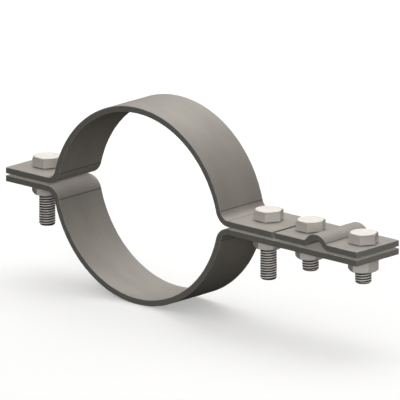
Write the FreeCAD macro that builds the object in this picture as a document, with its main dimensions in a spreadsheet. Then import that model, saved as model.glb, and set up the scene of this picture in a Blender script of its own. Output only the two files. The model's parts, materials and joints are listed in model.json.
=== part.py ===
import FreeCAD, Part
import enum
import math
import os

import Sketcher

# Downpipe clamp: two bent strip halves that bolt together round a downpipe. The lower half runs on
# as a tongue, and a short humped plate on it clamps a round lightning conductor.
#
# Frame: origin at the ring's centre, on the mid-plane between the two halves. X runs along the
# flanges towards the tongue, Y is the pipe's axis and the strip's width, Z points up along the bolts.

doc = FreeCAD.newDocument("downpipe_clamp")

# Driving dimensions, in millimetres and degrees
DIMENSIONS = {
    "strip_width": 30.0,
    "strip_thickness": 3.0,
    "flange_gap": 1.0,
    # the ring is two arcs of less than a half circle, each centred beyond the mid-plane
    "ring_radius": 52.75,
    "ring_offset": 7.0,
    "ring_bend_radius": 5.0,
    # how far the ring bolts stand from the bends, and how far the flanges run past them
    "left_bolt_from_bend": 14.0,
    "left_bolt_margin": 13.25,
    "right_bolt_from_bend": 12.5,
    "right_bolt_margin": 15.75,
    # the conductor plate: its distance from the upper flange, and its two bolts
    "plate_gap": 2.0,
    "plate_bolt_margin": 9.25,
    "plate_bolt_spacing": 33.75,
    # the hump over the round conductor
    "hump_radius": 5.0,
    "hump_bend_radius": 1.5,
    # bolts and nuts of thread M8
    "thread_diameter": 7.9,
    "nut_bore_clearance": 0.05,
    "bolt_hole_diameter": 9.0,
    "across_flats": 13.0,
    "chamfer_circle": 12.35,
    "hex_chamfer_angle": 30.0,
    "head_height": 5.3,
    "washer_face_height": 0.5,
    "washer_face_diameter": 12.0,
    "bolt_tip_chamfer": 0.7,
    "ring_bolt_length": 29.0,
    "plate_bolt_length": 19.5,
    "nut_height": 6.5,
    "nut_mouth_chamfer": 0.6,
}

sheet = doc.addObject("Spreadsheet::Sheet", "sizes")
for row, (name, value) in enumerate(DIMENSIONS.items(), start=1):
    sheet.set(f"A{row}", name)
    sheet.set(f"B{row}", str(value))
    sheet.setAlias(f"B{row}", name)
doc.recompute()


class Size:
    """A length or angle: its value now, and the sheet expression that keeps a feature bound to it."""

    def __init__(self, value, text):
        self.value = value
        self.text = text

    def __add__(self, other):
        return Size(self.value + other.value, f"({self.text} + {other.text})")

    def __sub__(self, other):
        return Size(self.value - other.value, f"({self.text} - {other.text})")

    def __mul__(self, number):
        return Size(self.value * number, f"({self.text} * {number})")

    def __truediv__(self, number):
        return Size(self.value / number, f"({self.text} / {number})")

    def __neg__(self):
        return self * -1

    def times_tangent(self, angle):
        """This length times the tangent of an angle in degrees."""
        tangent = math.tan(math.radians(angle.value))
        return Size(self.value * tangent, f"({self.text} * tan({angle.text} * 1 deg))")

    def other_leg(self, leg):
        """With this length as the slanting side of a right triangle and one leg known, the other."""
        other = math.sqrt(self.value**2 - leg.value**2)
        return Size(other, f"sqrt({self.text} ^ 2 - {leg.text} ^ 2)")


def cell(name):
    """The Size held in one named cell of the sheet."""
    return Size(float(sheet.get(name)), f"sizes.{name}")


ZERO = Size(0.0, "0")

# Heights and places that several pieces share
thickness = cell("strip_thickness")
half_gap = cell("flange_gap") / 2
seat_height = half_gap + thickness
ring_bend_reach = cell("ring_radius") + thickness + cell("ring_bend_radius")
ring_bend_height = seat_height + cell("ring_bend_radius") + cell("ring_offset")
ring_bend_x = ring_bend_reach.other_leg(ring_bend_height)
left_bolt_x = -(ring_bend_x + cell("left_bolt_from_bend"))
right_bolt_x = ring_bend_x + cell("right_bolt_from_bend")
left_end = left_bolt_x - cell("left_bolt_margin")
upper_right_end = right_bolt_x + cell("right_bolt_margin")
inner_bolt_x = upper_right_end + cell("plate_gap") + cell("plate_bolt_margin")
outer_bolt_x = inner_bolt_x + cell("plate_bolt_spacing")
tongue_end = outer_bolt_x + cell("plate_bolt_margin")
half_spacing = cell("plate_bolt_spacing") / 2
hump_x = inner_bolt_x + half_spacing


# Sketch helpers


class PointOf(enum.IntEnum):
    """Which point of a curve a constraint means."""

    START = 1
    END = 2
    CENTRE = 3


class AxisOf(enum.IntEnum):
    """A sketch's own axes, as constraints name them."""

    X = -1
    Y = -2


ORIGIN = (AxisOf.X, PointOf.START)


def new_body(label, x=ZERO, z=ZERO):
    """An empty body for one piece, standing at x along the clamp and z above its mid-plane."""
    body = doc.addObject("PartDesign::Body", label)
    body.Label = label
    body.setExpression("Placement.Base.x", x.text)
    body.setExpression("Placement.Base.z", z.text)
    return body


def new_sketch(body, name, plane):
    """A sketch on one of its body's own origin planes."""
    sketch = body.newObject("Sketcher::SketchObject", f"{body.Label}_{name}")
    support = next(f for f in body.Origin.OriginFeatures if f.Role == plane)
    sketch.AttachmentSupport = (support, [""])
    sketch.MapMode = "FlatFace"
    return sketch


def bind(sketch, kind, where, size):
    """A dimensional constraint whose value follows the sheet."""
    index = sketch.addConstraint(Sketcher.Constraint(kind, *where, size.value))
    sketch.setExpression(f"Constraints[{index}]", size.text)


def relate(sketch, kind, *where):
    """A geometric constraint."""
    sketch.addConstraint(Sketcher.Constraint(kind, *where))


def end_at(sketch, curve, point):
    """Which end of a curve lies at a point: arcs are stored anticlockwise, however they were drawn."""
    start_distance = (sketch.getPoint(curve, PointOf.START) - point).Length
    end_distance = (sketch.getPoint(curve, PointOf.END) - point).Length
    return PointOf.START if start_distance < end_distance else PointOf.END


def polygon(sketch, points):
    """Straight lines from point to point and back, each point fixed by its two sizes."""
    corners = [FreeCAD.Vector(x.value, y.value, 0) for x, y in points]
    lines = [
        sketch.addGeometry(Part.LineSegment(here, there), False)
        for here, there in zip(corners, corners[1:] + corners[:1])
    ]
    for line, following, (x, y) in zip(lines, lines[1:] + lines[:1], points):
        relate(sketch, "Coincident", line, PointOf.END, following, PointOf.START)
        bind(sketch, "DistanceX", (*ORIGIN, line, PointOf.START), x)
        bind(sketch, "DistanceY", (*ORIGIN, line, PointOf.START), y)


def hexagon(sketch, across_flats, corner_on):
    """A regular hexagon about the origin, with a corner on one of the sketch's axes."""
    radius = across_flats.value / 2 / math.cos(math.radians(30))
    first_angle = 0 if corner_on == AxisOf.X else 90
    angles = [math.radians(first_angle + 60 * step) for step in range(6)]
    corners = [FreeCAD.Vector(radius * math.cos(a), radius * math.sin(a), 0) for a in angles]
    sides = [
        sketch.addGeometry(Part.LineSegment(here, there), False)
        for here, there in zip(corners, corners[1:] + corners[:1])
    ]
    through_corners = Part.Circle(FreeCAD.Vector(0, 0, 0), FreeCAD.Vector(0, 0, 1), radius)
    circle = sketch.addGeometry(through_corners, True)
    relate(sketch, "Coincident", circle, PointOf.CENTRE, *ORIGIN)
    for side, following in zip(sides, sides[1:] + sides[:1]):
        relate(sketch, "Coincident", side, PointOf.END, following, PointOf.START)
        relate(sketch, "PointOnObject", side, PointOf.START, circle)
    for side in sides[1:]:
        relate(sketch, "Equal", sides[0], side)
    relate(sketch, "PointOnObject", sides[0], PointOf.START, corner_on)
    across_corners = Size(2 * radius, f"({across_flats.text} / cos(30 deg))")
    bind(sketch, "Diameter", (circle,), across_corners)


def round_hole(sketch, x, diameter):
    """A circle centred on the sketch's X axis."""
    centre = FreeCAD.Vector(x.value, 0, 0)
    circle = Part.Circle(centre, FreeCAD.Vector(0, 0, 1), diameter.value / 2)
    curve = sketch.addGeometry(circle, False)
    relate(sketch, "PointOnObject", curve, PointOf.CENTRE, AxisOf.X)
    bind(sketch, "DistanceX", (*ORIGIN, curve, PointOf.CENTRE), x)
    bind(sketch, "Diameter", (curve,), diameter)


def cut_through(body, sketch):
    """Cut a sketch right through its body both ways, and make sure that material went."""
    before = body.Shape.Volume
    pocket = body.newObject("PartDesign::Pocket", f"{sketch.Name}_cut")
    pocket.Profile = sketch
    pocket.Type = "ThroughAll"
    pocket.SideType = "Symmetric"
    doc.recompute()
    if body.Shape.Volume >= before:
        raise RuntimeError(f"{pocket.Name} cut nothing")


# The bent strips
#
# All three have one shape: a flat, a bend, an arc, a bend and a flat, of one thickness throughout.
# side is 1 where the arc rises above the mid-plane and -1 where it hangs below. The near face is
# the one towards the mid-plane, and so the inside of the arc.


def minor_arc(centre, first, last):
    """The shorter arc about a centre from one point to another."""
    radius = (first - centre).Length
    bisector = (first - centre) + (last - centre)
    return Part.Arc(first, centre + bisector.normalize() * radius, last)


def face_of_strip(sketch, height, ends, arc_centre, bend_centre, arc_radius):
    """One face of the strip, from left to right: its five curves and its six points."""
    towards_bend = (bend_centre - arc_centre).normalize()
    meet = arc_centre + towards_bend * arc_radius
    foot = FreeCAD.Vector(bend_centre.x, height, 0)
    left_bend, left_meet, left_foot = (FreeCAD.Vector(-p.x, p.y, 0) for p in (bend_centre, meet, foot))
    left_tip, right_tip = (FreeCAD.Vector(x.value, height, 0) for x in ends)
    curves = [
        Part.LineSegment(left_tip, left_foot),
        minor_arc(left_bend, left_foot, left_meet),
        minor_arc(arc_centre, left_meet, meet),
        minor_arc(bend_centre, meet, foot),
        Part.LineSegment(foot, right_tip),
    ]
    numbers = [sketch.addGeometry(curve, False) for curve in curves]
    return numbers, [left_tip, left_foot, left_meet, meet, foot, right_tip]


def strip_outline(sketch, side, near, ends, arc_height, arc_radius, bend_radius):
    """The strip seen along its width: two faces of tangent flats and arcs, about common centres."""
    far = near + thickness * side
    arc_centre = FreeCAD.Vector(0, arc_height.value, 0)
    bend_height = far.value + side * bend_radius.value
    reach = arc_radius.value + thickness.value + bend_radius.value
    bend_x = math.sqrt(reach**2 - (bend_height - arc_height.value) ** 2)
    bend_centre = FreeCAD.Vector(bend_x, bend_height, 0)
    far_radius = arc_radius.value + thickness.value
    near_face = face_of_strip(sketch, near.value, ends, arc_centre, bend_centre, arc_radius.value)
    far_face = face_of_strip(sketch, far.value, ends, arc_centre, bend_centre, far_radius)

    for height, (curves, points) in ((near, near_face), (far, far_face)):
        for first, second, point in zip(curves, curves[1:], points[1:]):
            ends_that_meet = (end_at(sketch, first, point), end_at(sketch, second, point))
            relate(sketch, "Tangent", first, ends_that_meet[0], second, ends_that_meet[1])
        relate(sketch, "Horizontal", curves[0])
        relate(sketch, "Horizontal", curves[-1])
        bind(sketch, "DistanceY", (*ORIGIN, curves[0], end_at(sketch, curves[0], points[0])), height)
    # the far face's right flat needs no height of its own: the tangents and shared centres hold it
    right_flat, right_tip = near_face[0][-1], near_face[1][-1]
    bind(sketch, "DistanceY", (*ORIGIN, right_flat, end_at(sketch, right_flat, right_tip)), near)

    for near_curve, far_curve in list(zip(near_face[0], far_face[0]))[1:4]:
        relate(sketch, "Coincident", near_curve, PointOf.CENTRE, far_curve, PointOf.CENTRE)
    near_curves, far_curves = near_face[0], far_face[0]
    relate(sketch, "PointOnObject", near_curves[2], PointOf.CENTRE, AxisOf.Y)
    bind(sketch, "DistanceY", (*ORIGIN, near_curves[2], PointOf.CENTRE), arc_height)
    bind(sketch, "Radius", (near_curves[2],), arc_radius)
    for bend in (far_curves[1], far_curves[3]):
        bind(sketch, "Radius", (bend,), bend_radius)

    for tip in (0, -1):
        near_flat, near_tip = near_curves[tip], near_face[1][tip]
        far_flat, far_tip = far_curves[tip], far_face[1][tip]
        edge = sketch.addGeometry(Part.LineSegment(near_tip, far_tip), False)
        near_end = end_at(sketch, near_flat, near_tip)
        relate(sketch, "Coincident", edge, PointOf.START, near_flat, near_end)
        relate(sketch, "Coincident", edge, PointOf.END, far_flat, end_at(sketch, far_flat, far_tip))
        relate(sketch, "Vertical", edge)
        bind(sketch, "DistanceX", (*ORIGIN, near_flat, near_end), ends[tip])


def bent_strip(label, x, side, near, ends, arc_height, arc_radius, bend_radius, holes):
    """A flat strip bent to shape and drilled for its bolts."""
    body = new_body(label, x)
    outline = new_sketch(body, "outline", "XZ_Plane")
    strip_outline(outline, side, near, ends, arc_height, arc_radius, bend_radius)
    pad = body.newObject("PartDesign::Pad", f"{label}_strip")
    pad.Profile = outline
    pad.SideType = "Symmetric"
    pad.setExpression("Length", "sizes.strip_width")
    doc.recompute()
    drilling = new_sketch(body, "bolt_holes", "XY_Plane")
    for hole_x in holes:
        round_hole(drilling, hole_x, cell("bolt_hole_diameter"))
    cut_through(body, drilling)
    return body


# Hexagon bolts and nuts
#
# Each is turned first, with its chamfers, and its six flats are cut last, which leaves the curved
# chamfer edges that a real one has. A bolt's origin is under its head and a nut's on its top face.

BLANK_OVER_CORNERS = 1.04
RING_OVER_CORNERS = 1.5


def turned_blank(body, points):
    """A solid of revolution about the body's Z axis."""
    profile = new_sketch(body, "profile", "XZ_Plane")
    polygon(profile, points)
    turned = body.newObject("PartDesign::Revolution", f"{body.Label}_turned")
    turned.Profile = profile
    turned.ReferenceAxis = (profile, ["V_Axis"])
    turned.Angle = 360
    doc.recompute()


def cut_flats(body, corner_on):
    """Cut the six flats: everything outside a hexagon goes."""
    flats = new_sketch(body, "flats", "XY_Plane")
    hexagon(flats, cell("across_flats"), corner_on)
    outside = cell("across_flats") * RING_OVER_CORNERS
    round_hole(flats, ZERO, outside)
    cut_through(body, flats)


blank_radius = cell("across_flats") / 2 / math.cos(math.radians(30)) * BLANK_OVER_CORNERS
face_radius = cell("chamfer_circle") / 2
chamfer_drop = (blank_radius - face_radius).times_tangent(cell("hex_chamfer_angle"))
thread_radius = cell("thread_diameter") / 2


def hex_bolt(label, x, length):
    """A hexagon bolt with a washer face, a chamfered head and a chamfered tip."""
    body = new_body(label, x, seat_height)
    head = cell("head_height")
    washer_face = cell("washer_face_height")
    washer_radius = cell("washer_face_diameter") / 2
    tip = cell("bolt_tip_chamfer")
    turned_blank(
        body,
        [
            (ZERO, head),
            (face_radius, head),
            (blank_radius, head - chamfer_drop),
            (blank_radius, washer_face),
            (washer_radius, washer_face),
            (washer_radius, ZERO),
            (thread_radius, ZERO),
            (thread_radius, tip - length),
            (thread_radius - tip, -length),
            (ZERO, -length),
        ],
    )
    cut_flats(body, AxisOf.X)
    return body


def hex_nut(label, x):
    """A hexagon nut, chamfered on both faces, its bore opened at both mouths."""
    body = new_body(label, x, -seat_height)
    height = cell("nut_height")
    bore = thread_radius + cell("nut_bore_clearance")
    mouth = cell("nut_mouth_chamfer")
    turned_blank(
        body,
        [
            (bore + mouth, ZERO),
            (face_radius, ZERO),
            (blank_radius, -chamfer_drop),
            (blank_radius, chamfer_drop - height),
            (face_radius, -height),
            (bore + mouth, -height),
            (bore, mouth - height),
            (bore, -mouth),
        ],
    )
    cut_flats(body, AxisOf.Y)
    return body


# The pieces

ring_arc = (cell("ring_radius"), cell("ring_bend_radius"))
ring_holes = [left_bolt_x, right_bolt_x]
plate_holes = [inner_bolt_x, outer_bolt_x]
plate_half_length = half_spacing + cell("plate_bolt_margin")

pieces = [
    bent_strip(
        "upper_half",
        ZERO,
        1,
        half_gap,
        (left_end, upper_right_end),
        -cell("ring_offset"),
        *ring_arc,
        ring_holes,
    ),
    bent_strip(
        "lower_half",
        ZERO,
        -1,
        -half_gap,
        (left_end, tongue_end),
        cell("ring_offset"),
        *ring_arc,
        ring_holes + plate_holes,
    ),
    bent_strip(
        "conductor_plate",
        hump_x,
        1,
        half_gap,
        (-plate_half_length, plate_half_length),
        -half_gap,
        cell("hump_radius"),
        cell("hump_bend_radius"),
        [-half_spacing, half_spacing],
    ),
]

BOLTED_PLACES = {
    "ring_{}_left": (left_bolt_x, cell("ring_bolt_length")),
    "ring_{}_right": (right_bolt_x, cell("ring_bolt_length")),
    "conductor_{}_inner": (inner_bolt_x, cell("plate_bolt_length")),
    "conductor_{}_outer": (outer_bolt_x, cell("plate_bolt_length")),
}
for pattern, (bolt_x, bolt_length) in BOLTED_PLACES.items():
    pieces.append(hex_bolt(pattern.format("bolt"), bolt_x, bolt_length))
    pieces.append(hex_nut(pattern.format("nut"), bolt_x))

# Check the document, then write one file for each piece

doc.recompute()
for item in doc.Objects:
    if "Invalid" in item.State or "Error" in item.State:
        raise RuntimeError(f"{item.Name} failed: {item.State}")
for piece in pieces:
    if piece.Shape.isNull() or not piece.Shape.isValid() or len(piece.Shape.Solids) != 1:
        raise RuntimeError(f"{piece.Label} isn't one valid solid")

os.makedirs("parts", exist_ok=True)
for piece in pieces:
    piece.Shape.exportStep(f"parts/{piece.Label}.step")
    box = piece.Shape.BoundBox
    print(
        f"{piece.Label}: {piece.Shape.Volume:.1f} mm3, "
        f"x {box.XMin:.2f} to {box.XMax:.2f}, y {box.YMin:.2f} to {box.YMax:.2f}, "
        f"z {box.ZMin:.2f} to {box.ZMax:.2f}"
    )
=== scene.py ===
# %% [markdown]
# This lesson dresses a downpipe clamp in Blender. The real thing is two strips of flat steel, bent
# to close round a pipe and drawn together by hexagon bolts. The packed CAD model comes first and
# never moves: it says where each piece is, in metres. X runs along the flanges towards the tongue,
# Y along the pipe and Z up along the bolts.

# %% Load the frame
import json
import math

import bmesh
import bpy
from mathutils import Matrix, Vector


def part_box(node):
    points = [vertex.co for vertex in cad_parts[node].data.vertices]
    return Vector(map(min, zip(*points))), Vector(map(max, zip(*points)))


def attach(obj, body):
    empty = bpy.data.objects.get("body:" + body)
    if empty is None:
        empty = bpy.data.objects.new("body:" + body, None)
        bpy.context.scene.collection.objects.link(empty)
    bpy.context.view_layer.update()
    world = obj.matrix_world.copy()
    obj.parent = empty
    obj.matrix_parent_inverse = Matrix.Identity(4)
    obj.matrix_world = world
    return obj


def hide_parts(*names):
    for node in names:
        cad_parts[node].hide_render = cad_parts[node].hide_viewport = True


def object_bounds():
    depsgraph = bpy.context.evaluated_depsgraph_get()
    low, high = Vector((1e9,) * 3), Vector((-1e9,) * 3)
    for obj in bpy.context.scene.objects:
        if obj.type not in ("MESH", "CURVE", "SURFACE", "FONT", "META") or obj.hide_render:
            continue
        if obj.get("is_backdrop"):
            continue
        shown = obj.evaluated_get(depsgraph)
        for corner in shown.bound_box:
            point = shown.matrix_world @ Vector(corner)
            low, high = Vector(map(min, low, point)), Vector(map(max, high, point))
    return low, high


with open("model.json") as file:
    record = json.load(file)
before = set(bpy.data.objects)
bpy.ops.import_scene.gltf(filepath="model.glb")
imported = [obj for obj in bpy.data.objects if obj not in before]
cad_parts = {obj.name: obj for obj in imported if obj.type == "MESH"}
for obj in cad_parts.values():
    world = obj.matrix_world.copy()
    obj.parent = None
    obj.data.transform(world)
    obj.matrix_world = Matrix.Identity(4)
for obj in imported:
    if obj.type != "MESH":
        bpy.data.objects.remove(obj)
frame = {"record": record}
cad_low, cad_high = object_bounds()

MM = 0.001
print("CAD box in mm:", [round(size / MM, 2) for size in cad_high - cad_low])

# %% [markdown]
# Every size that the CAD model can tell is read from it, so that a change there carries through.
# The two halves leave a gap between them, and the nuts lie against the lower one, so the boxes of
# a few nodes give the gap and the strip's thickness. The radius of the ring and of the hump are in
# the record, as the mounts for the pipe and the conductor. Only small radii are written here.

# %% Read the sizes of the strips
upper_low, upper_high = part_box("upper_half")
lower_low, lower_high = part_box("lower_half")
plate_low, plate_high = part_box("conductor_plate")
HALF_WIDTH = upper_high.y
HALF_GAP = upper_low.z
SEAT_HEIGHT = -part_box("ring_nut_left")[1].z
THICKNESS = SEAT_HEIGHT - HALF_GAP

mounts = {mount["name"]: mount for mount in frame["record"]["mounts"]}
mount_radius = {name: mount["dims"]["r_mm"] * MM for name, mount in mounts.items()}
mount_place = {name: Vector(mount["pos_m"]) for name, mount in mounts.items()}
RING_RADIUS = mount_radius["pipe_seat"]
HUMP_RADIUS = mount_radius["conductor_groove"]
RING_OFFSET = RING_RADIUS + THICKNESS - upper_high.z
HUMP_OFFSET = HUMP_RADIUS + THICKNESS - plate_high.z
RING_BEND_RADIUS = 5.0 * MM
HUMP_BEND_RADIUS = 1.5 * MM
HOLE_RADIUS = 4.5 * MM
print("strip in mm:", round(2 * HALF_WIDTH / MM, 2), "by", round(THICKNESS / MM, 2))

# %% [markdown]
# The bolts and nuts stand on four axes. A bolt's box gives the height of its head, and along Y it
# gives the hexagon's width across its flats, because a bolt has a corner on the X axis. All four
# bolts have the same head, so one of them is enough.

# %% Read the sizes of the bolts and nuts
BOLT_NODES = ("ring_bolt_left", "ring_bolt_right", "conductor_bolt_inner", "conductor_bolt_outer")
NUT_OF_BOLT = {bolt: bolt.replace("bolt", "nut") for bolt in BOLT_NODES}
bolt_low, bolt_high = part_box("ring_bolt_left")
ACROSS_FLATS = bolt_high.y - bolt_low.y
HEAD_HEIGHT = bolt_high.z - SEAT_HEIGHT


def axis_of(node):
    """The place along X of a bolt's or nut's own axis."""
    low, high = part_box(node)
    return (low.x + high.x) / 2


for bolt in BOLT_NODES:
    print(bolt, "stands at x =", round(axis_of(bolt) / MM, 2), "mm")

# %% [markdown]
# Shader maths is easier to read as a formula than as a cloud of nodes. A Wire holds one output
# socket, and an operator on it adds the Math node that does the sum. The reflected forms let a
# number come first, as in 1 - mask. Any other node comes from one method, which sets the node's
# own settings first and then feeds its sockets with numbers or with other wires.

# %% Shader maths as expressions


def by_identifier(sockets, identifier):
    """The socket with this identifier. Some of a node's sockets share one name."""
    return next(socket for socket in sockets if socket.identifier == identifier)


class Wire:
    """One output of a shader node. Sums written with it become Math nodes."""

    def __init__(self, tree, socket=None):
        self.tree = tree
        self.socket = socket

    def node(self, kind, settings, inputs, output=None):
        """Add a node, its settings before its sockets, and give one output or else the first."""
        made = self.tree.nodes.new(kind)
        for name, value in settings.items():
            setattr(made, name, value)
        for identifier, value in inputs.items():
            socket = by_identifier(made.inputs, identifier)
            if isinstance(value, Wire):
                self.tree.links.new(value.socket, socket)
            else:
                socket.default_value = value
        chosen = by_identifier(made.outputs, output) if output else made.outputs[0]
        return Wire(self.tree, chosen)

    def maths(self, operation, first, second):
        """One Math node on two values."""
        values = {"Value": first, "Value_001": second}
        return self.node("ShaderNodeMath", {"operation": operation}, values)

    def __add__(self, other):
        return self.maths("ADD", self, other)

    def __radd__(self, other):
        return self.maths("ADD", other, self)

    def __sub__(self, other):
        return self.maths("SUBTRACT", self, other)

    def __rsub__(self, other):
        return self.maths("SUBTRACT", other, self)

    def __mul__(self, other):
        return self.maths("MULTIPLY", self, other)

    def __rmul__(self, other):
        return self.maths("MULTIPLY", other, self)

    def __pow__(self, power):
        return self.maths("POWER", self, power)

    def __abs__(self):
        return self.maths("ABSOLUTE", self, 0.0)

    def smaller(self, other):
        """Whichever of the two is the smaller."""
        return self.maths("MINIMUM", self, other)

    def step(self, low, high):
        """0 below low, 1 above high and a soft slope between them."""
        limits = {"Value": self, "From Min": low, "From Max": high}
        return self.node("ShaderNodeMapRange", {"interpolation_type": "SMOOTHSTEP"}, limits)

    def blots(self, x, y, z, detail=2.0):
        """Noise from 0 to 1 at this place, in blots of the given size along each axis."""
        scale = {"Vector": self, "Vector_001": (1 / x, 1 / y, 1 / z)}
        place = self.node("ShaderNodeVectorMath", {"operation": "MULTIPLY"}, scale)
        inputs = {"Vector": place, "Scale": 1.0, "Detail": detail}
        return self.node("ShaderNodeTexNoise", {}, inputs)

    def coordinates(self):
        """The three numbers of a vector, each as a wire."""
        split = self.node("ShaderNodeSeparateXYZ", {}, {"Vector": self}).socket.node
        return [Wire(self.tree, socket) for socket in split.outputs]

    def mix(self, first, second):
        """A mix of two colours, with this wire as the share of the second."""
        inputs = {"Factor_Float": self, "A_Color": first, "B_Color": second}
        return self.node("ShaderNodeMix", {"data_type": "RGBA"}, inputs, output="Result_Color")


print("a wire also gives:", [name for name in vars(Wire) if not name.startswith("_")])

# %% [markdown]
# Every finish here is one Principled shader, which covers paint and metal alike. A number that is
# the same all over goes straight onto the shader's own socket, and a pattern reaches it as a wire.
# A pattern could be laid on with an image and a UV map. Numbers that the mesh's own points carry,
# such as a point's place in the flat bar, need neither, and they fit every piece.

# %% A finish with one shader


class Finish:
    """A material with one Principled shader, whose pattern is built with wires."""

    def __init__(self, name, **constants):
        self.material = bpy.data.materials.new(name)
        self.material.use_nodes = True
        self.shader = self.material.node_tree.nodes["Principled BSDF"]
        for socket, value in constants.items():
            self.shader.inputs[socket.replace("_", " ")].default_value = value
        self.start = Wire(self.material.node_tree)

    def attribute(self, name, output):
        """What each point of the mesh carries: a "Vector", or a number as "Fac"."""
        settings = {"attribute_type": "GEOMETRY", "attribute_name": name}
        return self.start.node("ShaderNodeAttribute", settings, {}, output)

    def feed(self, socket, wire):
        """Link a wire to one of the shader's sockets."""
        self.material.node_tree.links.new(wire.socket, self.shader.inputs[socket])

    def bump(self, height, strength, distance):
        """Let a height of 0 to 1 raise the surface by a distance, for the light only."""
        inputs = {"Strength": strength, "Distance": distance, "Height": height}
        self.feed("Normal", self.start.node("ShaderNodeBump", {}, inputs))


print("a finish also has:", [name for name in vars(Finish) if not name.startswith("_")])

# %% [markdown]
# Both halves and the small plate are made from flat bar, so each is one outline seen along its
# width: flats, bends and arcs, all of one thickness. A bent sheet with a Solidify modifier could
# have that thickness too, but its bolt holes would still have to be cut. Here the outline is worked
# out as pairs of points, one on the near face, towards the clamp's middle plane, and one on the far
# face. It also notes the pairs where a bend starts and ends, because the folding tool left a line
# there.

# %% Work out the outline of a bent strip
RING_STEP = math.radians(2.0)
BEND_STEP = math.radians(7.5)
LARGE_RADIUS = 20 * MM


def direction_to(centre, point):
    """The angle of the way from a centre to a point, in the plane of X and Z."""
    return math.atan2(point.y - centre.y, point.x - centre.x)


def swing(centre, first, last, near_radius, far_radius, step):
    """Pairs of near and far points about a centre, swung the short way round between two angles."""
    turn = (last - first + math.pi) % (2 * math.pi) - math.pi
    count = math.ceil(abs(turn) / step)
    pairs = []
    for number in range(count + 1):
        angle = first + turn * number / count
        way = Vector((math.cos(angle), math.sin(angle)))
        pairs.append((centre + way * near_radius, centre + way * far_radius))
    return pairs


def curved_stretch(side, near, middle_x, offset, radius, bend_radius):
    """A strip between its flats: bend, arc and bend, and which pairs start and end a bend."""
    far = near + side * THICKNESS
    centre = Vector((middle_x, near - side * (HALF_GAP + offset)))
    reach = radius + THICKNESS + bend_radius
    rise = far + side * bend_radius - centre.y
    run = math.sqrt(reach**2 - rise**2)
    bends = [Vector((middle_x + way * run, centre.y + rise)) for way in (-1, 1)]
    flat_way = -side * math.pi / 2
    up = side * math.pi / 2
    left, right = (direction_to(centre, bend) for bend in bends)
    radii = (bend_radius + THICKNESS, bend_radius)
    pairs = swing(bends[0], flat_way, direction_to(bends[0], centre), *radii, BEND_STEP)
    bend_ends = [0, len(pairs) - 1]
    step = RING_STEP if radius > LARGE_RADIUS else BEND_STEP
    for first, last in ((left, up), (up, right)):
        pairs += swing(centre, first, last, radius, radius + THICKNESS, step)[1:]
    bend_ends.append(len(pairs) - 1)
    pairs += swing(bends[1], direction_to(bends[1], centre), flat_way, *radii, BEND_STEP)[1:]
    bend_ends.append(len(pairs) - 1)
    return pairs, bend_ends


print("the ring is drawn in steps of", round(math.degrees(RING_STEP), 1), "degrees")

# %% [markdown]
# A strip's mesh is a chain of stations, each a row of points across the near face and one across
# the far face, with four walls from one station to the next. Each point also remembers where it lay
# in the flat bar: the length run along the bar, the place across it and the depth. Rolling marks
# follow that place round the bends, as they do on real bent bar. Three more numbers, the distances
# to the nearer end, the nearest bend line and the nearest hole, let the finish find those places.

# %% The stations of a strip


class StripMesh:
    """Gathers the points and faces of one strip."""

    def __init__(self):
        self.mesh = bmesh.new()
        self.grain = self.mesh.verts.layers.float_vector.new("grain")
        self.end_distance = self.mesh.verts.layers.float.new("end_distance")
        self.bend_distance = self.mesh.verts.layers.float.new("bend_distance")
        self.hole_distance = self.mesh.verts.layers.float.new("hole_distance")

    def point(self, place, y, run, depth):
        """A point of the strip, with the place that it had in the flat bar."""
        vertex = self.mesh.verts.new((place.x, y, place.y))
        vertex[self.grain] = (run, y, depth)
        return vertex

    def face(self, corners):
        """A face through these points."""
        self.mesh.faces.new(corners)

    def wall(self, first, second):
        """Quads between two rows of points."""
        for number in range(len(first) - 1):
            self.face((first[number], first[number + 1], second[number + 1], second[number]))


def station(strip, pair, run, points_across):
    """The two rows of points across the strip, near and far, at one place along it."""
    rows = []
    for place, depth in zip(pair, (0.0, THICKNESS)):
        ys = [HALF_WIDTH * (2 * number / points_across - 1) for number in range(points_across + 1)]
        rows.append([strip.point(place, y, run, depth) for y in ys])
    return rows


def plain_section(strip, first, second):
    """The four walls between two stations."""
    for row_a, row_b in zip(first, second):
        strip.face(row_a + row_b[::-1])
    for side in (0, -1):
        strip.face((first[0][side], first[1][side], second[1][side], second[0][side]))


print("a station reaches", round(HALF_WIDTH / MM, 1), "mm to each side of the middle")

# %% [markdown]
# The flats carry the bolt holes. A Boolean would cut them in one step, but it leaves long slivers
# that a bevel can't round over. Here the face round each hole is a patch instead. Its outer edge is
# a rectangle and its inner edge a circle, with as many points on both, so that every face stays a
# clean quad.

# %% The section round a bolt hole
POINTS_A_SIDE = 16
PATCH_HALF = 8.5 * MM


def drilled_section(strip, first, second, hole_x, pair, run):
    """The section round a bolt hole, whose middle is run along the bar, between two stations."""
    rims = []
    for level, depth in enumerate((0.0, THICKNESS)):
        height = pair[level].y
        start, end = first[level], second[level]
        x_first, x_last = start[0].co.x, end[0].co.x
        sides = []
        for edge in (0, -1):
            line = [start[edge]]
            for number in range(1, POINTS_A_SIDE):
                x = x_first + (x_last - x_first) * number / POINTS_A_SIDE
                place = Vector((x, height))
                line.append(strip.point(place, start[edge].co.y, run + x - hole_x, depth))
            sides.append(line + [end[edge]])
        border = start[:-1] + sides[1][:-1] + end[::-1][:-1] + sides[0][::-1][:-1]
        circle = []
        for corner in border:
            angle = math.atan2(corner.co.y, corner.co.x - hole_x)
            place = Vector((hole_x + HOLE_RADIUS * math.cos(angle), height))
            across = HOLE_RADIUS * math.sin(angle)
            circle.append(strip.point(place, across, run + place.x - hole_x, depth))
        strip.wall(border + border[:1], circle + circle[:1])
        rims.append((circle, sides))
    (near_circle, near_sides), (far_circle, far_sides) = rims
    strip.wall(near_circle + near_circle[:1], far_circle + far_circle[:1])
    for near_side, far_side in zip(near_sides, far_sides):
        strip.wall(near_side, far_side)


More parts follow.
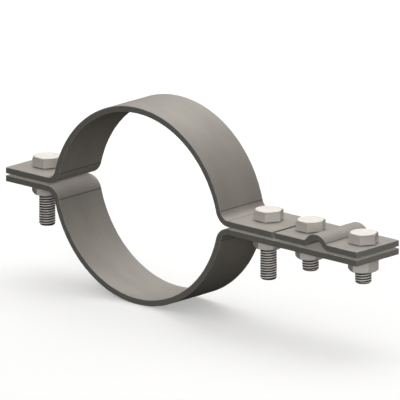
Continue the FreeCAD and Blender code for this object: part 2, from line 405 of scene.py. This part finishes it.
print("each hole has", 4 * POINTS_A_SIDE, "points round it")

# %% [markdown]
# A strip is walked from its left end to its right one, and the walk adds up the length of bar as it
# goes. The bends and the arc bring their own stations. A flat gets one where the patch of a hole
# starts and one where it ends, and one more close to each end and each bend, which keeps the
# shading of the long faces even right up to them.

# %% From one end of a strip to the other
SUPPORT = 0.4 * MM


def flat_stops(side, plain_xs, hole_xs):
    """The stations along a flat: a pair of points, how many faces across, and a hole or None."""
    stops = [(x, 1, None) for x in plain_xs]
    for hole_x in hole_xs:
        stops.append((hole_x - PATCH_HALF, POINTS_A_SIDE, hole_x))
        stops.append((hole_x + PATCH_HALF, POINTS_A_SIDE, None))
    stations = []
    for x, points, hole in sorted(stops):
        pair = (Vector((x, side * HALF_GAP)), Vector((x, side * SEAT_HEIGHT)))
        stations.append((pair, points, hole))
    return stations


def strip_mesh(name, side, ends, curve, bend_ends, hole_xs):
    """The mesh of one strip, from its curved stretch, its two ends and its holes."""
    left_bend = curve[0][0].x
    right_bend = curve[-1][0].x
    left_holes = [x for x in hole_xs if x < left_bend]
    right_holes = [x for x in hole_xs if x > right_bend]
    stops = flat_stops(side, (ends[0], ends[0] + SUPPORT, left_bend - SUPPORT), left_holes)
    curve_start = len(stops)
    stops += [(pair, 1, None) for pair in curve]
    stops += flat_stops(side, (right_bend + SUPPORT, ends[1] - SUPPORT, ends[1]), right_holes)

    strip = StripMesh()
    run = 0.0
    runs = []
    previous = None
    for pair, points_across, hole_after in stops:
        middle = (pair[0] + pair[1]) / 2
        if previous:
            run += (middle - last_middle).length
        runs.append(run)
        rows = station(strip, pair, run, points_across)
        if previous and hole_before:
            drilled_section(strip, previous, rows, hole_before, pair, run - PATCH_HALF)
        elif previous:
            plain_section(strip, previous, rows)
        else:
            strip.face(rows[0] + rows[1][::-1])
        previous, last_middle, hole_before = rows, middle, hole_after
    strip.face(previous[0] + previous[1][::-1])
    bend_lines = [runs[curve_start + number] for number in bend_ends]
    for vertex in strip.mesh.verts:
        along = vertex[strip.grain].x
        vertex[strip.end_distance] = min(along, run - along)
        vertex[strip.bend_distance] = min(abs(along - line) for line in bend_lines)
        vertex[strip.hole_distance] = min(math.hypot(vertex.co.x - x, vertex.co.y) for x in hole_xs)
    bmesh.ops.recalc_face_normals(strip.mesh, faces=strip.mesh.faces)
    mesh = bpy.data.meshes.new(name)
    strip.mesh.to_mesh(mesh)
    strip.mesh.free()
    print(name, "is", round(run / MM, 1), "mm of bar, in", len(mesh.polygons), "faces")
    return mesh


print("the patch of a hole is", round(2 * PATCH_HALF / MM, 1), "mm long")

# %% [markdown]
# Strip steel is matt and warm grey, with a little of the mill left on it: faint clouds, long streaks
# along the bar from the rolls, a fine tooth and a few pits. Its long edges are darker and ribbed,
# partly mill scale and partly painted shade, and its sheared ends are lighter, partly fresh metal
# and partly painted light. Handling has polished the corners. Where each bend starts and ends, the
# folding tool has pressed a thin dark line across the bar, and round each bolt hole the bar is
# darker, partly with dirt and partly with painted shadow. All of it follows the flat bar's own
# coordinates, so it runs round the bends unbroken. Painting the pieces by hand would do the same
# once, and these formulas still fit when a size changes.

# %% What varies over the strip steel
PIT_LEVELS = (0.71, 0.76)
WEAR_LEVELS = (0.32, 0.62)
CUT_SKIN = (0.02 * MM, 0.22 * MM)
EDGE_WEAR = (0.10 * MM, 0.55 * MM)
TOOL_MARK = (0.10 * MM, 0.40 * MM)
DIRT_AND_SHADOW_RING = (6.2 * MM, 8.2 * MM)
STEEL_METALLIC = 0.2
strip_steel = Finish("strip_steel_visible", Metallic=STEEL_METALLIC)
grain = strip_steel.attribute("grain", "Vector")
run, across, depth = grain.coordinates()
end_distance = strip_steel.attribute("end_distance", "Fac")
bend_distance = strip_steel.attribute("bend_distance", "Fac")
hole_distance = strip_steel.attribute("hole_distance", "Fac")
cut_distance = (HALF_WIDTH - abs(across)).smaller(end_distance)
skin_distance = depth.smaller(THICKNESS - depth)

clouds = grain.blots(26 * MM, 11 * MM, 26 * MM, 3.0)
streaks = grain.blots(38 * MM, 0.35 * MM, 38 * MM, 2.0)
tooth = grain.blots(0.45 * MM, 0.16 * MM, 0.3 * MM, 3.0)
pits = grain.blots(0.9 * MM, 0.6 * MM, 0.9 * MM, 1.0).step(*PIT_LEVELS)
cut_face = 1 - cut_distance.step(*CUT_SKIN)
sheared = 1 - end_distance.step(*CUT_SKIN)
ribs = grain.blots(0.25 * MM, 0.25 * MM, 4 * MM, 1.0)
edge = 1 - (cut_distance + skin_distance).step(*EDGE_WEAR)
worn = edge * grain.blots(5 * MM, 5 * MM, 5 * MM).step(*WEAR_LEVELS)
tool_mark = 1 - bend_distance.step(*TOOL_MARK)
# Round each hole the bar is darker: partly dirt, partly painted shadow of the head or nut.
dirt_and_shadow_ring = 1 - hole_distance.step(*DIRT_AND_SHADOW_RING)
print("dirt lies up to", round(DIRT_AND_SHADOW_RING[1] / MM, 1), "mm from the middle of a hole")

# %% [markdown]
# Now the masks are turned into looks. Each colour is mixed over the one before it, as a painter
# would lay them: the rolled face and its shade, the marks, the cut faces and last the bare metal of
# the worn edges. The same masks drive the roughness and a shallow bump, so a pit is dark, dull and
# sunk at the same spot.

# %% The colours and the relief of the strip steel
CLOUD_LEVELS = (0.3, 0.7)
STREAK_LEVELS = (0.35, 0.75)
STRIP_ROUGHNESS = 0.54
STRIP_BUMP = 0.35
STRIP_RELIEF = 0.03 * MM
STRIP_COLOUR = (0.333, 0.308, 0.272, 1)
STRIP_SHADE = (0.264, 0.243, 0.212, 1)
STRIP_SHEEN = (0.418, 0.390, 0.351, 1)
MARK_COLOUR = (0.090, 0.084, 0.075, 1)
# Long edges painted darker and sheared ends lighter: part mill scale and fresh metal, part painted
# shade and painted light.
EDGE_SCALE_AND_SHADE_COLOUR = (0.198, 0.192, 0.170, 1)
SHEAR_METAL_AND_LIGHT_COLOUR = (0.300, 0.290, 0.260, 1)
shaded = clouds.step(*CLOUD_LEVELS) * 0.35 + streaks.step(*STREAK_LEVELS) * 0.35 + pits * 0.5
rolled = shaded.mix(STRIP_COLOUR, STRIP_SHADE)
rolled = (tool_mark * 0.8).mix(rolled, MARK_COLOUR)
# Painted shadow, with some dirt, darkens the bar round each bolt hole.
rolled = (dirt_and_shadow_ring * 0.6).mix(rolled, MARK_COLOUR)
# Painted shade on the long edges and painted light on the sheared ends, over their own steel
# colours.
cut_colour = sheared.mix(EDGE_SCALE_AND_SHADE_COLOUR, SHEAR_METAL_AND_LIGHT_COLOUR)
cut_share = cut_face * (0.75 + ribs.step(*CLOUD_LEVELS) * 0.25)
colour = cut_share.mix(rolled, cut_colour)
strip_steel.feed("Base Color", (worn * 0.6).mix(colour, STRIP_SHEEN))
rough = STRIP_ROUGHNESS + clouds * 0.12 + streaks * 0.08 - worn * 0.16
strip_steel.feed("Roughness", rough)
relief = tooth * 0.5 + streaks * 0.35 - pits * 1.2 - tool_mark * 0.8 + cut_face * ribs * 1.6
strip_steel.bump(relief, STRIP_BUMP, STRIP_RELIEF)
print("strip steel has", len(strip_steel.material.node_tree.nodes), "nodes")

# %% [markdown]
# The bolts and nuts are bright, satin, cold-formed steel. Their faces keep a faint cloudiness and
# fine draw lines along the axis. The six flats of a head are painted greyer than its top, and the
# turned chamfer above them darker: painted shade on the faces that turn from the light. The chamfer
# is also rougher. Separate materials on separate faces could do this, but one material that knows
# each point's place about the bolt's own axis does it too, and its masks can fade where a real face
# fades. Here are the masks.

# %% What varies over the fastener steel
CREST_RADIUS = 3.98 * MM
ROOT_RADIUS = 3.38 * MM
CHAMFER_CIRCLE = 12.35 / 2 * MM
CHAMFER_SLOPE = math.tan(math.radians(30))
CONE_HEIGHT = SEAT_HEIGHT + HEAD_HEIGHT + CHAMFER_CIRCLE * CHAMFER_SLOPE
CONE_EDGE = (CONE_HEIGHT - 0.20 * MM, CONE_HEIGHT - 0.08 * MM)
TOP_EDGE = (CHAMFER_CIRCLE - 0.05 * MM, CHAMFER_CIRCLE + 0.12 * MM)
# The thread's roots are darkened, with grime and painted shade.
GRIME_AND_SHADE_EDGE = (ROOT_RADIUS + 0.42 * MM, CREST_RADIUS - 0.06 * MM)
TIP_EDGE = (0.05 * MM, 0.40 * MM)
HEAD_START = (SEAT_HEIGHT, SEAT_HEIGHT + 0.1 * MM)
# Under each head runs a line of dirt and painted shadow.
HEAD_DIRT_AND_SHADOW = (SEAT_HEIGHT + 0.35 * MM, SEAT_HEIGHT + 0.75 * MM)
SPECK_LEVELS = (0.70, 0.76)
fastener_steel = Finish("fastener_steel_visible", Metallic=STEEL_METALLIC)
grain = fastener_steel.attribute("grain", "Vector")
x, y, z = fastener_steel.attribute("from_axis", "Vector").coordinates()
from_axis = (x * x + y * y) ** 0.5
above_end = fastener_steel.attribute("above_end", "Fac")
clouds = grain.blots(4 * MM, 4 * MM, 4 * MM, 3.0)
draw_lines = grain.blots(0.25 * MM, 0.25 * MM, 7 * MM, 2.0)
tooth = grain.blots(0.2 * MM, 0.2 * MM, 0.2 * MM, 2.0)
specks = grain.blots(0.5 * MM, 0.5 * MM, 0.5 * MM, 1.0).step(*SPECK_LEVELS)
on_head = z.step(*HEAD_START)
head_sides = on_head * from_axis.step(*TOP_EDGE)
on_cone = head_sides * (z + from_axis * CHAMFER_SLOPE).step(*CONE_EDGE)
on_thread = (1 - z.step(0.0, SEAT_HEIGHT)) * above_end.step(*TIP_EDGE)
# Masks for the thread's roots, dark with grime and painted shade, and for the line of dirt and
# painted shadow under each head.
in_root = on_thread * (1 - from_axis.step(*GRIME_AND_SHADE_EDGE))
under_head = on_head * (1 - z.step(*HEAD_DIRT_AND_SHADOW))
print("thread from", round(ROOT_RADIUS / MM, 2), "to", round(CREST_RADIUS / MM, 2), "mm in radius")

# %% [markdown]
# Grease and dust settle in the roots of the thread, darkened further as painted shade, while its
# crests are rubbed clean and kept bright as painted light, so a thread reads as light and dark
# rings. A line of dirt and painted shadow runs under each head. The tip's end face stays clean. The
# colours are laid one over another as on the strips.

# %% The colours and the relief of the fastener steel
FASTENER_COLOUR = (0.960, 0.905, 0.842, 1)
FASTENER_SHADE = (0.690, 0.646, 0.595, 1)
# Painted shade: the head's flats and its chamfer are darker than its top.
SHADED_FLAT_COLOUR = (0.640, 0.602, 0.560, 1)
SHADED_CHAMFER_COLOUR = (0.330, 0.310, 0.288, 1)
GRIME_AND_SHADE_COLOUR = (0.030, 0.028, 0.026, 1)
FASTENER_ROUGHNESS = 0.40
FASTENER_BUMP = 0.3
FASTENER_RELIEF = 0.02 * MM
shaded = clouds.step(*CLOUD_LEVELS) * 0.35 + draw_lines.step(*STREAK_LEVELS) * 0.25 + specks * 0.5
# On the thread the mottled tone is left out, so its crests stay bright: rubbed clean, and painted
# light.
# The whole head takes a darker tone than the nuts and threads: painted shade on the heads, where the
# light is strongest, so the nuts and threads in the strips' shadow carry painted light by
# comparison.
shaded = shaded * (1 - on_thread * 0.9) + on_head * 0.4
colour = shaded.mix(FASTENER_COLOUR, FASTENER_SHADE)
# Painted shade on the head's six flats.
colour = (head_sides * 0.9).mix(colour, SHADED_FLAT_COLOUR)
# Painted shade on the chamfer round the head's top.
colour = (on_cone * 0.9).mix(colour, SHADED_CHAMFER_COLOUR)
# Grime and painted shade in the thread's roots, dirt and painted shadow under each head.
grime_and_shade = in_root * 0.99 + under_head * 0.8
fastener_steel.feed("Base Color", grime_and_shade.mix(colour, GRIME_AND_SHADE_COLOUR))
rough = FASTENER_ROUGHNESS + clouds * 0.18 + specks * 0.2 + (in_root + on_cone) * 0.2
fastener_steel.feed("Roughness", rough)
relief = tooth * 0.4 + draw_lines * 0.4 - specks * 0.8
fastener_steel.bump(relief, FASTENER_BUMP, FASTENER_RELIEF)
print("fastener steel has", len(fastener_steel.material.node_tree.nodes), "nodes")

# %% [markdown]
# Cut bar has no knife edges: the shears and the deburring leave a small round on each one, and
# that round catches the light. A Bevel modifier limited by angle finds those edges by itself, and
# leaves the arcs alone because their facets turn by only a few degrees. On the bolts and nuts it
# goes by a weight on each edge instead. Weighted normals then keep the flats flat in the shading,
# right up to the bends.

# %% Show a piece and round its edges
SHARP_ANGLE = math.radians(40)
ROUNDING_SEGMENTS = 3
LARGE_FACES_LEAD = 100


def show(name, mesh, finish, body, node):
    """Show a piece, with its finish, the body that it moves with and the node that it replaces."""
    piece = bpy.data.objects.new(name, mesh)
    bpy.context.scene.collection.objects.link(piece)
    mesh.materials.append(finish.material)
    mesh.shade_smooth()
    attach(piece, body)
    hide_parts(node)
    return piece


def round_edges(piece, width, limit_method):
    """Round the edges, by their angle or by their own weights, and shade the flats as flats."""
    bevel = piece.modifiers.new("rounded edges", "BEVEL")
    bevel.width = width
    bevel.segments = ROUNDING_SEGMENTS
    bevel.limit_method = limit_method
    bevel.angle_limit = SHARP_ANGLE
    normals = piece.modifiers.new("flat shading on flats", "WEIGHTED_NORMAL")
    normals.weight = LARGE_FACES_LEAD


print("strip edges over", round(math.degrees(SHARP_ANGLE)), "degrees are rounded")

# %% [markdown]
# Three pieces come off the same bar. The upper half ends in two short flanges. The lower half runs
# on to the right as a tongue, and the small plate on that tongue has a hump for the round conductor.
# They could be three models, but they differ only in their numbers. So one table says for each
# which body it moves with, which way its arc goes, where it ends, how its arc and bends are sized
# and which bolts go through it.

# %% The three strips
EDGE_ROUNDING = 0.28 * MM
hump_middle = mount_place["conductor_groove"].x
ring_sizes = (0.0, RING_OFFSET, RING_RADIUS, RING_BEND_RADIUS)
hump_sizes = (hump_middle, HUMP_OFFSET, HUMP_RADIUS, HUMP_BEND_RADIUS)
ring_bolts = [axis_of(node) for node in BOLT_NODES[:2]]
plate_bolts = [axis_of(node) for node in BOLT_NODES[2:]]
STRIPS = {
    "upper_half": ("upper", 1, (upper_low.x, upper_high.x), ring_sizes, ring_bolts),
    "lower_half": ("lower", -1, (lower_low.x, lower_high.x), ring_sizes, ring_bolts + plate_bolts),
    "conductor_plate": ("plate", 1, (plate_low.x, plate_high.x), hump_sizes, plate_bolts),
}
for node, (body, side, ends, sizes, holes) in STRIPS.items():
    curve, bend_ends = curved_stretch(side, side * HALF_GAP, *sizes)
    mesh = strip_mesh(node + "_steel", side, ends, curve, bend_ends, holes)
    piece = show(node + "_steel", mesh, strip_steel, body, node)
    round_edges(piece, EDGE_ROUNDING, "ANGLE")

# %% [markdown]
# A hexagon bolt is a turned thing with six flats, so its mesh is a stack of rows of points about
# its axis. On a flat the row's radius swells from the middle of the flat to its corners, and the
# 30 degree chamfer on top is a cone, so where the cone meets the flats the edge comes out in the
# arched curves that a real head has, with no cutting. The number of points is a multiple of six,
# so that each corner has a point of its own.

# %% Rows of points about an axis
COLUMNS = 72
COLUMNS_A_FLAT = COLUMNS // 6
PLACE_DIGITS = 9


class TurnedMesh:
    """Gathers the rows of points of a piece turned about an upright axis. Rows run downwards."""

    def __init__(self, axis_x, first_corner, grain_shift, bottom):
        self.mesh = bmesh.new()
        self.grain = self.mesh.verts.layers.float_vector.new("grain")
        self.from_axis = self.mesh.verts.layers.float_vector.new("from_axis")
        self.above_end = self.mesh.verts.layers.float.new("above_end")
        self.rounding = self.mesh.edges.layers.float.new("bevel_weight_edge")
        self.bottom = bottom
        self.axis_x = axis_x
        self.first_corner = first_corner
        self.grain_shift = Vector((grain_shift, 0, 0))
        self.points = {}

    def point(self, column, radius, height):
        """A point at a column's angle, made once however often it is asked for."""
        key = (column % COLUMNS, round(radius, PLACE_DIGITS), round(height, PLACE_DIGITS))
        if key not in self.points:
            angle = self.first_corner + 2 * math.pi * key[0] / COLUMNS
            place = Vector((radius * math.cos(angle), radius * math.sin(angle), height))
            vertex = self.mesh.verts.new(place + Vector((self.axis_x, 0, 0)))
            vertex[self.grain] = place + self.grain_shift
            vertex[self.from_axis] = place
            vertex[self.above_end] = height - self.bottom
            self.points[key] = vertex
        return self.points[key]

    def circle(self, radius, height):
        """A round row."""
        return [self.point(column, radius, height) for column in range(COLUMNS)]

    def hexagon(self, height, chamfer=0):
        """A row round the six flats. With a chamfer of 1 or -1, a corner lies lower or higher."""
        row = []
        for column in range(COLUMNS):
            on_flat = 2 * math.pi * (column % COLUMNS_A_FLAT) / COLUMNS - math.pi / 6
            radius = ACROSS_FLATS / 2 / math.cos(on_flat)
            drop = chamfer * (radius - CHAMFER_CIRCLE) * CHAMFER_SLOPE
            row.append(self.point(column, radius, height - drop))
        return row

    def face(self, corners):
        """A face through these points, leaving out repeats where a row has closed up."""
        distinct = list(dict.fromkeys(corners))
        if len(distinct) > 2:
            self.mesh.faces.new(distinct)

    def join(self, rows):
        """Quads from row to row."""
        for upper, lower in zip(rows, rows[1:]):
            for column in range(COLUMNS):
                after = (column + 1) % COLUMNS
                self.face((upper[column], upper[after], lower[after], lower[column]))


print("one column every", 360 / COLUMNS, "degrees")

# %% [markdown]
# The dies that form a head leave its edges a little round, and so do the rolls on the crests of a
# thread. One bevel for all of them can be no wider than its tightest spot allows, which is on the
# thread. So each edge carries a weight instead: the full rounding on the hexagon and a little of it
# on the thread.

# %% Weigh the edges and finish the mesh
CREASE_ANGLE = math.radians(20)
THREAD_REACH = 4.3 * MM
THREAD_WEIGHT = 0.15


def edge_weight(turned, edge):
    """How much of the full rounding an edge gets: all of it outside, a little on the thread."""
    if edge.calc_face_angle(0.0) < CREASE_ANGLE:
        return 0.0
    nearest = min(vertex[turned.from_axis].xy.length for vertex in edge.verts)
    return 1.0 if nearest > THREAD_REACH else THREAD_WEIGHT


def finished_mesh(turned, name):
    """The closed mesh of a turned piece."""
    bmesh.ops.recalc_face_normals(turned.mesh, faces=turned.mesh.faces)
    for edge in turned.mesh.edges:
        edge[turned.rounding] = edge_weight(turned, edge)
    mesh = bpy.data.meshes.new(name)
    turned.mesh.to_mesh(mesh)
    turned.mesh.free()
    print(name, "has", len(mesh.polygons), "faces")
    return mesh


print("edges within", round(THREAD_REACH / MM, 1), "mm of the axis belong to the thread")

# %% [markdown]
# The M8 thread is a real helix, because at this distance its dark roots and bright crests are what
# makes a bolt look like one. A Screw modifier winds a profile into a helix too, but leaves it open
# at both ends. Here the profile gives the radius at each share of the pitch on the way down from a
# crest. Each row climbs by one pitch on its way round and joins the row that lies a pitch higher, so
# the thread is one closed skin. Where it would pass the end of the bolt, its points close up on a
# last round row. Bolt and nut count their turns from the same height, so that the two threads lie
# in each other and stay so while the bolt is turned.

# %% The M8 thread
PITCH = 1.25 * MM
CLOSING = 0.06 * MM
ROOT_ROUNDING = 0.05 * MM
THREAD_PROFILE = (
    (0.00, CREST_RADIUS),
    (0.34, CREST_RADIUS),
    (0.56, ROOT_RADIUS + ROOT_ROUNDING),
    (0.60, ROOT_RADIUS),
    (0.74, ROOT_RADIUS),
    (0.78, ROOT_RADIUS + ROOT_ROUNDING),
)


def helix(turned, top_row, bottom_row, limit):
    """Join two round rows by a right-hand thread. limit gives a radius from the thread's own."""
    top, bottom = top_row[0].co.z, bottom_row[0].co.z
    rows_a_turn = len(THREAD_PROFILE)
    first_turn = math.ceil(top / PITCH) + 1
    row_count = rows_a_turn * (math.ceil((top - bottom) / PITCH) + 4)

    def point(column, row):
        """A point of the thread, or of a round row where the thread has ended."""
        row -= rows_a_turn * (column // COLUMNS)
        column %= COLUMNS
        share, radius = THREAD_PROFILE[row % rows_a_turn]
        turns = first_turn - row // rows_a_turn - share
        turns += column / COLUMNS + turned.first_corner / (2 * math.pi)
        height = PITCH * turns
        if height > top - CLOSING:
            return top_row[column]
        if height < bottom + CLOSING:
            return bottom_row[column]
        return turned.point(column, limit(radius, height), height)

    for row in range(row_count):
        for column in range(COLUMNS):
            corners = (point(column, row), point(column + 1, row))
            turned.face(corners + (point(column + 1, row + 1), point(column, row + 1)))


print("pitch in mm:", PITCH / MM)

# %% [markdown]
# A bolt is a stack of rows from the top of its head down: the flat top, the chamfered hexagon, the
# thin round washer face that it seats on, a short plain shank, the thread and the chamfered tip. A
# head and a threaded rod could be two meshes pushed into each other, but one closed skin has no
# hidden faces, and its rounding runs all the way round.

# %% A hexagon bolt
PLAIN_SHANK = 1.6 * MM
TIP_CHAMFER = 0.7 * MM
WASHER_FACE_HEIGHT = 0.5 * MM
WASHER_FACE_RADIUS = 6.0 * MM


def bolt_mesh(name, axis_x, tip, grain_shift):
    """A hexagon bolt, threaded almost to its head, which sits on the upper strip."""
    turned = TurnedMesh(axis_x, 0.0, grain_shift, tip)
    seat, top = SEAT_HEIGHT, SEAT_HEIGHT + HEAD_HEIGHT
    thread_top = turned.circle(CREST_RADIUS, seat - PLAIN_SHANK)
    thread_bottom = turned.circle(CREST_RADIUS - TIP_CHAMFER, tip)
    rows = [
        turned.circle(CHAMFER_CIRCLE, top),
        turned.hexagon(top, 1),
        turned.hexagon(seat + WASHER_FACE_HEIGHT),
        turned.circle(WASHER_FACE_RADIUS, seat + WASHER_FACE_HEIGHT),
        turned.circle(WASHER_FACE_RADIUS, seat),
        turned.circle(CREST_RADIUS, seat),
        thread_top,
    ]
    turned.face(rows[0])
    turned.join(rows)

    def within_tip(radius, height):
        """The chamfer at the tip cuts the thread down."""
        return min(radius, CREST_RADIUS - TIP_CHAMFER + height - tip)

    helix(turned, thread_top, thread_bottom, within_tip)
    turned.face(thread_bottom)
    return finished_mesh(turned, name)


print("heads are", round(HEAD_HEIGHT / MM, 2), "mm high with their washer faces")

# %% [markdown]
# A nut has the same hexagon, chamfered on both sides, round a bore that opens in two countersunk
# mouths. Its rows start at the thread's upper end, go out over the top and down the flats, and come
# in again to the thread's lower end. The thread then closes the skin on the inside. It stands a
# little clear of the bolt's thread, as a real one does, or the two surfaces would fight for the
# same place.

# %% A hexagon nut
THREAD_CLEARANCE = 0.07 * MM
NUT_MOUTH = 0.6 * MM


def nut_mesh(name, axis_x, bottom, grain_shift):
    """A hexagon nut against the lower strip, threaded to fit the bolt."""
    turned = TurnedMesh(axis_x, math.pi / 2, grain_shift, bottom)
    top = -SEAT_HEIGHT
    mouth_radius = CREST_RADIUS + NUT_MOUTH
    thread_start = CREST_RADIUS + THREAD_CLEARANCE
    mouth_depth = mouth_radius - thread_start
    thread_top = turned.circle(thread_start, top - mouth_depth)
    thread_bottom = turned.circle(thread_start, bottom + mouth_depth)
    turned.join([
        thread_top,
        turned.circle(mouth_radius, top),
        turned.circle(CHAMFER_CIRCLE, top),
        turned.hexagon(top, 1),
        turned.hexagon(bottom, -1),
        turned.circle(CHAMFER_CIRCLE, bottom),
        turned.circle(mouth_radius, bottom),
        thread_bottom,
    ])

    def cleared(radius, height):
        """The nut's thread stands clear of the bolt's, and the mouths cut it away."""
        return max(radius + THREAD_CLEARANCE, mouth_radius - min(top - height, height - bottom))

    helix(turned, thread_top, thread_bottom, cleared)
    return finished_mesh(turned, name)


print("bolt and nut are", round(THREAD_CLEARANCE / MM, 2), "mm apart in the thread")

# %% [markdown]
# Bolts and nuts could be two meshes with copies. Each one is built on its own axis instead, and its
# grain is shifted, so that another patch of the pattern falls on it and no two look alike. A bolt
# turns, so it moves with a body of its own. The nuts stay with the lower half, as if a spanner held
# them.

# %% Put the bolts and nuts in their places
HEXAGON_ROUNDING = 0.15 * MM
GRAIN_SHIFT = 40 * MM
for number, bolt in enumerate(BOLT_NODES):
    nut = NUT_OF_BOLT[bolt]
    shift = GRAIN_SHIFT * (number + 1)
    bolt_steel = bolt_mesh(bolt + "_steel", axis_of(bolt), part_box(bolt)[0].z, shift)
    nut_steel = nut_mesh(nut + "_steel", axis_of(nut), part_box(nut)[0].z, -shift)
    for node, body, mesh in ((bolt, bolt, bolt_steel), (nut, "lower", nut_steel)):
        piece = show(node + "_steel", mesh, fastener_steel, body, node)
        round_edges(piece, HEXAGON_ROUNDING, "WEIGHT")

# %% [markdown]
# The clamp stands on a pale studio floor. The floor takes the clamp's shadow but throws no light
# back, so the undersides stay as dark as they are in the photograph. Black paper under the clamp
# would do the same, but the floor has to stay pale, so it is hidden from the rays that carry light
# on instead.

# %% The floor
FLOOR_HALF = 3.0
FLOOR_COLOUR = (0.97, 0.965, 0.955, 1)
FLOOR_CLOUD = (0.93, 0.925, 0.915, 1)
FLOOR_BLOTS = 0.4
FLOOR_ROUGHNESS = 0.85
floor_points = bmesh.new()
bmesh.ops.create_grid(floor_points, x_segments=2, y_segments=2, size=FLOOR_HALF)
floor_mesh = bpy.data.meshes.new("studio_floor")
floor_points.to_mesh(floor_mesh)
floor_points.free()
floor_finish = Finish("studio_floor", Roughness=FLOOR_ROUGHNESS)
place = floor_finish.start.node("ShaderNodeTexCoord", {}, {}, output="Object")
floor_clouds = place.blots(FLOOR_BLOTS, FLOOR_BLOTS, FLOOR_BLOTS)
floor_finish.feed("Base Color", floor_clouds.mix(FLOOR_COLOUR, FLOOR_CLOUD))
floor_mesh.materials.append(floor_finish.material)
floor = bpy.data.objects.new("studio_floor", floor_mesh)
floor.location.z = cad_low.z
floor.visible_diffuse = False
floor.visible_glossy = False
bpy.context.scene.collection.objects.link(floor)
floor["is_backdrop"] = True
print("floor at", round(cad_low.z / MM, 2), "mm")

# %% [markdown]
# The sky lights the steel from all round. It is brightest overhead and dark below, which gives
# rounded steel its soft change from light to dark. The camera sees a plain white backdrop in its
# place: the Light Path node in the world tells the camera's own rays from the ones that light the
# steel.

# %% The sky
SKY_ABOVE = (0.48, 0.48, 0.48, 1)
SKY_HORIZON = (0.24, 0.24, 0.24, 1)
SKY_BELOW = (0.01, 0.01, 0.01, 1)
BACKDROP = (1.0, 1.0, 1.0, 1)
LOW_SKY = (-0.1, 0.2)
HIGH_SKY = (0.2, 0.9)
world = bpy.data.worlds.new("studio_sky")
bpy.context.scene.world = world
world.use_nodes = True
direction = Wire(world.node_tree).node("ShaderNodeTexCoord", {}, {}, output="Generated")
height = direction.coordinates()[2]
sky = height.step(*LOW_SKY).mix(SKY_BELOW, SKY_HORIZON)
sky = height.step(*HIGH_SKY).mix(sky, SKY_ABOVE)
seen_by_camera = direction.node("ShaderNodeLightPath", {}, {}, output="Is Camera Ray")
sky = seen_by_camera.mix(sky, BACKDROP)
world.node_tree.links.new(sky.socket, world.node_tree.nodes["Background"].inputs["Color"])
print("the sky has", len(world.node_tree.nodes), "nodes")

# %% [markdown]
# Soft lights make the picture. The key hangs high behind the clamp, so that tops are bright and
# the ring darkens evenly down its side. The photograph's shadows are faint and its narrow gaps are
# light, so more than half of the key's power comes from a fill at the same place that throws no
# shadow. A smaller light stands low by the camera, for the faces that look towards it. A weak one
# above that lifts the inside of the lower ring, and another beyond the tongue's end opens up the
# faces on the right.

# %% The lights
CENTRE = Vector((0.020, 0, -0.010))
LIGHT_DISTANCE = 1.6
BROAD = 1.6
SMALL = 0.8
KEY_PLACE = (124, 61, BROAD)
KEY_WATTS = 24.5
FILL_SHARE = 0.6


def from_angles(azimuth, elevation):
    """The direction towards an azimuth from +X through +Y, and an elevation, in degrees."""
    turn, rise = math.radians(azimuth), math.radians(elevation)
    flat = math.cos(rise)
    return Vector((flat * math.cos(turn), flat * math.sin(turn), math.sin(rise)))


def soft_light(name, azimuth, elevation, size, watts, shadows=True):
    """A square studio light that looks at the clamp, and is not itself in the picture."""
    light = bpy.data.lights.new(name, "AREA")
    light.size = size
    light.energy = watts
    light.use_shadow = shadows
    light.cycles.use_multiple_importance_sampling = shadows
    lamp = bpy.data.objects.new(name, light)
    away = from_angles(azimuth, elevation)
    lamp.location = CENTRE + away * LIGHT_DISTANCE
    lamp.rotation_euler = away.to_track_quat("Z", "Y").to_euler()
    lamp.visible_camera = False
    bpy.context.scene.collection.objects.link(lamp)


soft_light("key_light", *KEY_PLACE, KEY_WATTS * (1 - FILL_SHARE))
soft_light("fill_light", *KEY_PLACE, KEY_WATTS * FILL_SHARE, shadows=False)
soft_light("front_light", azimuth=-45, elevation=5, size=SMALL, watts=8.0)
soft_light("window_light", azimuth=-60, elevation=24, size=SMALL, watts=2.4)
soft_light("side_light", azimuth=-5, elevation=6, size=SMALL, watts=1.2)
print("lights:", [one.name for one in bpy.data.lights])

# %% [markdown]
# The photograph has no perspective, so the camera stands nine metres away behind a very long lens.
# An orthographic camera has none at all, but it can't be walked nearer for a closer look, and this
# one can. Its direction was measured from the picture, and then set a hair off, so that the little
# perspective that is left falls evenly on both ends of the clamp.

# %% The camera
VIEW_AZIMUTH = 42.55
VIEW_ELEVATION = 15.33
HALF_FRAME = 95.62 * MM
SHIFT_RIGHT = 19.88 * MM
SHIFT_UP = 0.02 * MM
LENS_MM = 1700
SENSOR_MM = 36
NEAREST_SEEN = 1.0
FARTHEST_SEEN = 40.0
back = from_angles(VIEW_AZIMUTH - 90, VIEW_ELEVATION)
right = from_angles(VIEW_AZIMUTH, 0)
up = back.cross(right)
lens = bpy.data.cameras.new("camera")
lens.lens = LENS_MM
lens.sensor_width = SENSOR_MM
lens.clip_start = NEAREST_SEEN
lens.clip_end = FARTHEST_SEEN
camera = bpy.data.objects.new("camera", lens)
reach = HALF_FRAME * LENS_MM / (SENSOR_MM / 2)
camera.location = right * SHIFT_RIGHT + up * SHIFT_UP + back * reach
camera.rotation_euler = back.to_track_quat("Z", "Y").to_euler()
bpy.context.scene.collection.objects.link(camera)
bpy.context.scene.camera = camera
bpy.context.scene.view_settings.view_transform = "Standard"
print("camera", round(reach, 3), "m away")

# %% [markdown]
# Last, the sizes are gathered: the CAD model's box and the box of what is shown now, whose size is
# printed. They should be the same, because every piece here was built from the CAD model's own
# measures.

# %% Sizes and the end
visual_low, visual_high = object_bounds()
sizes = {
    "cad": [list(cad_low), list(cad_high)],
    "visual": [list(visual_low), list(visual_high)],
}
print("visual box in mm:", [round(size / MM, 2) for size in visual_high - visual_low])
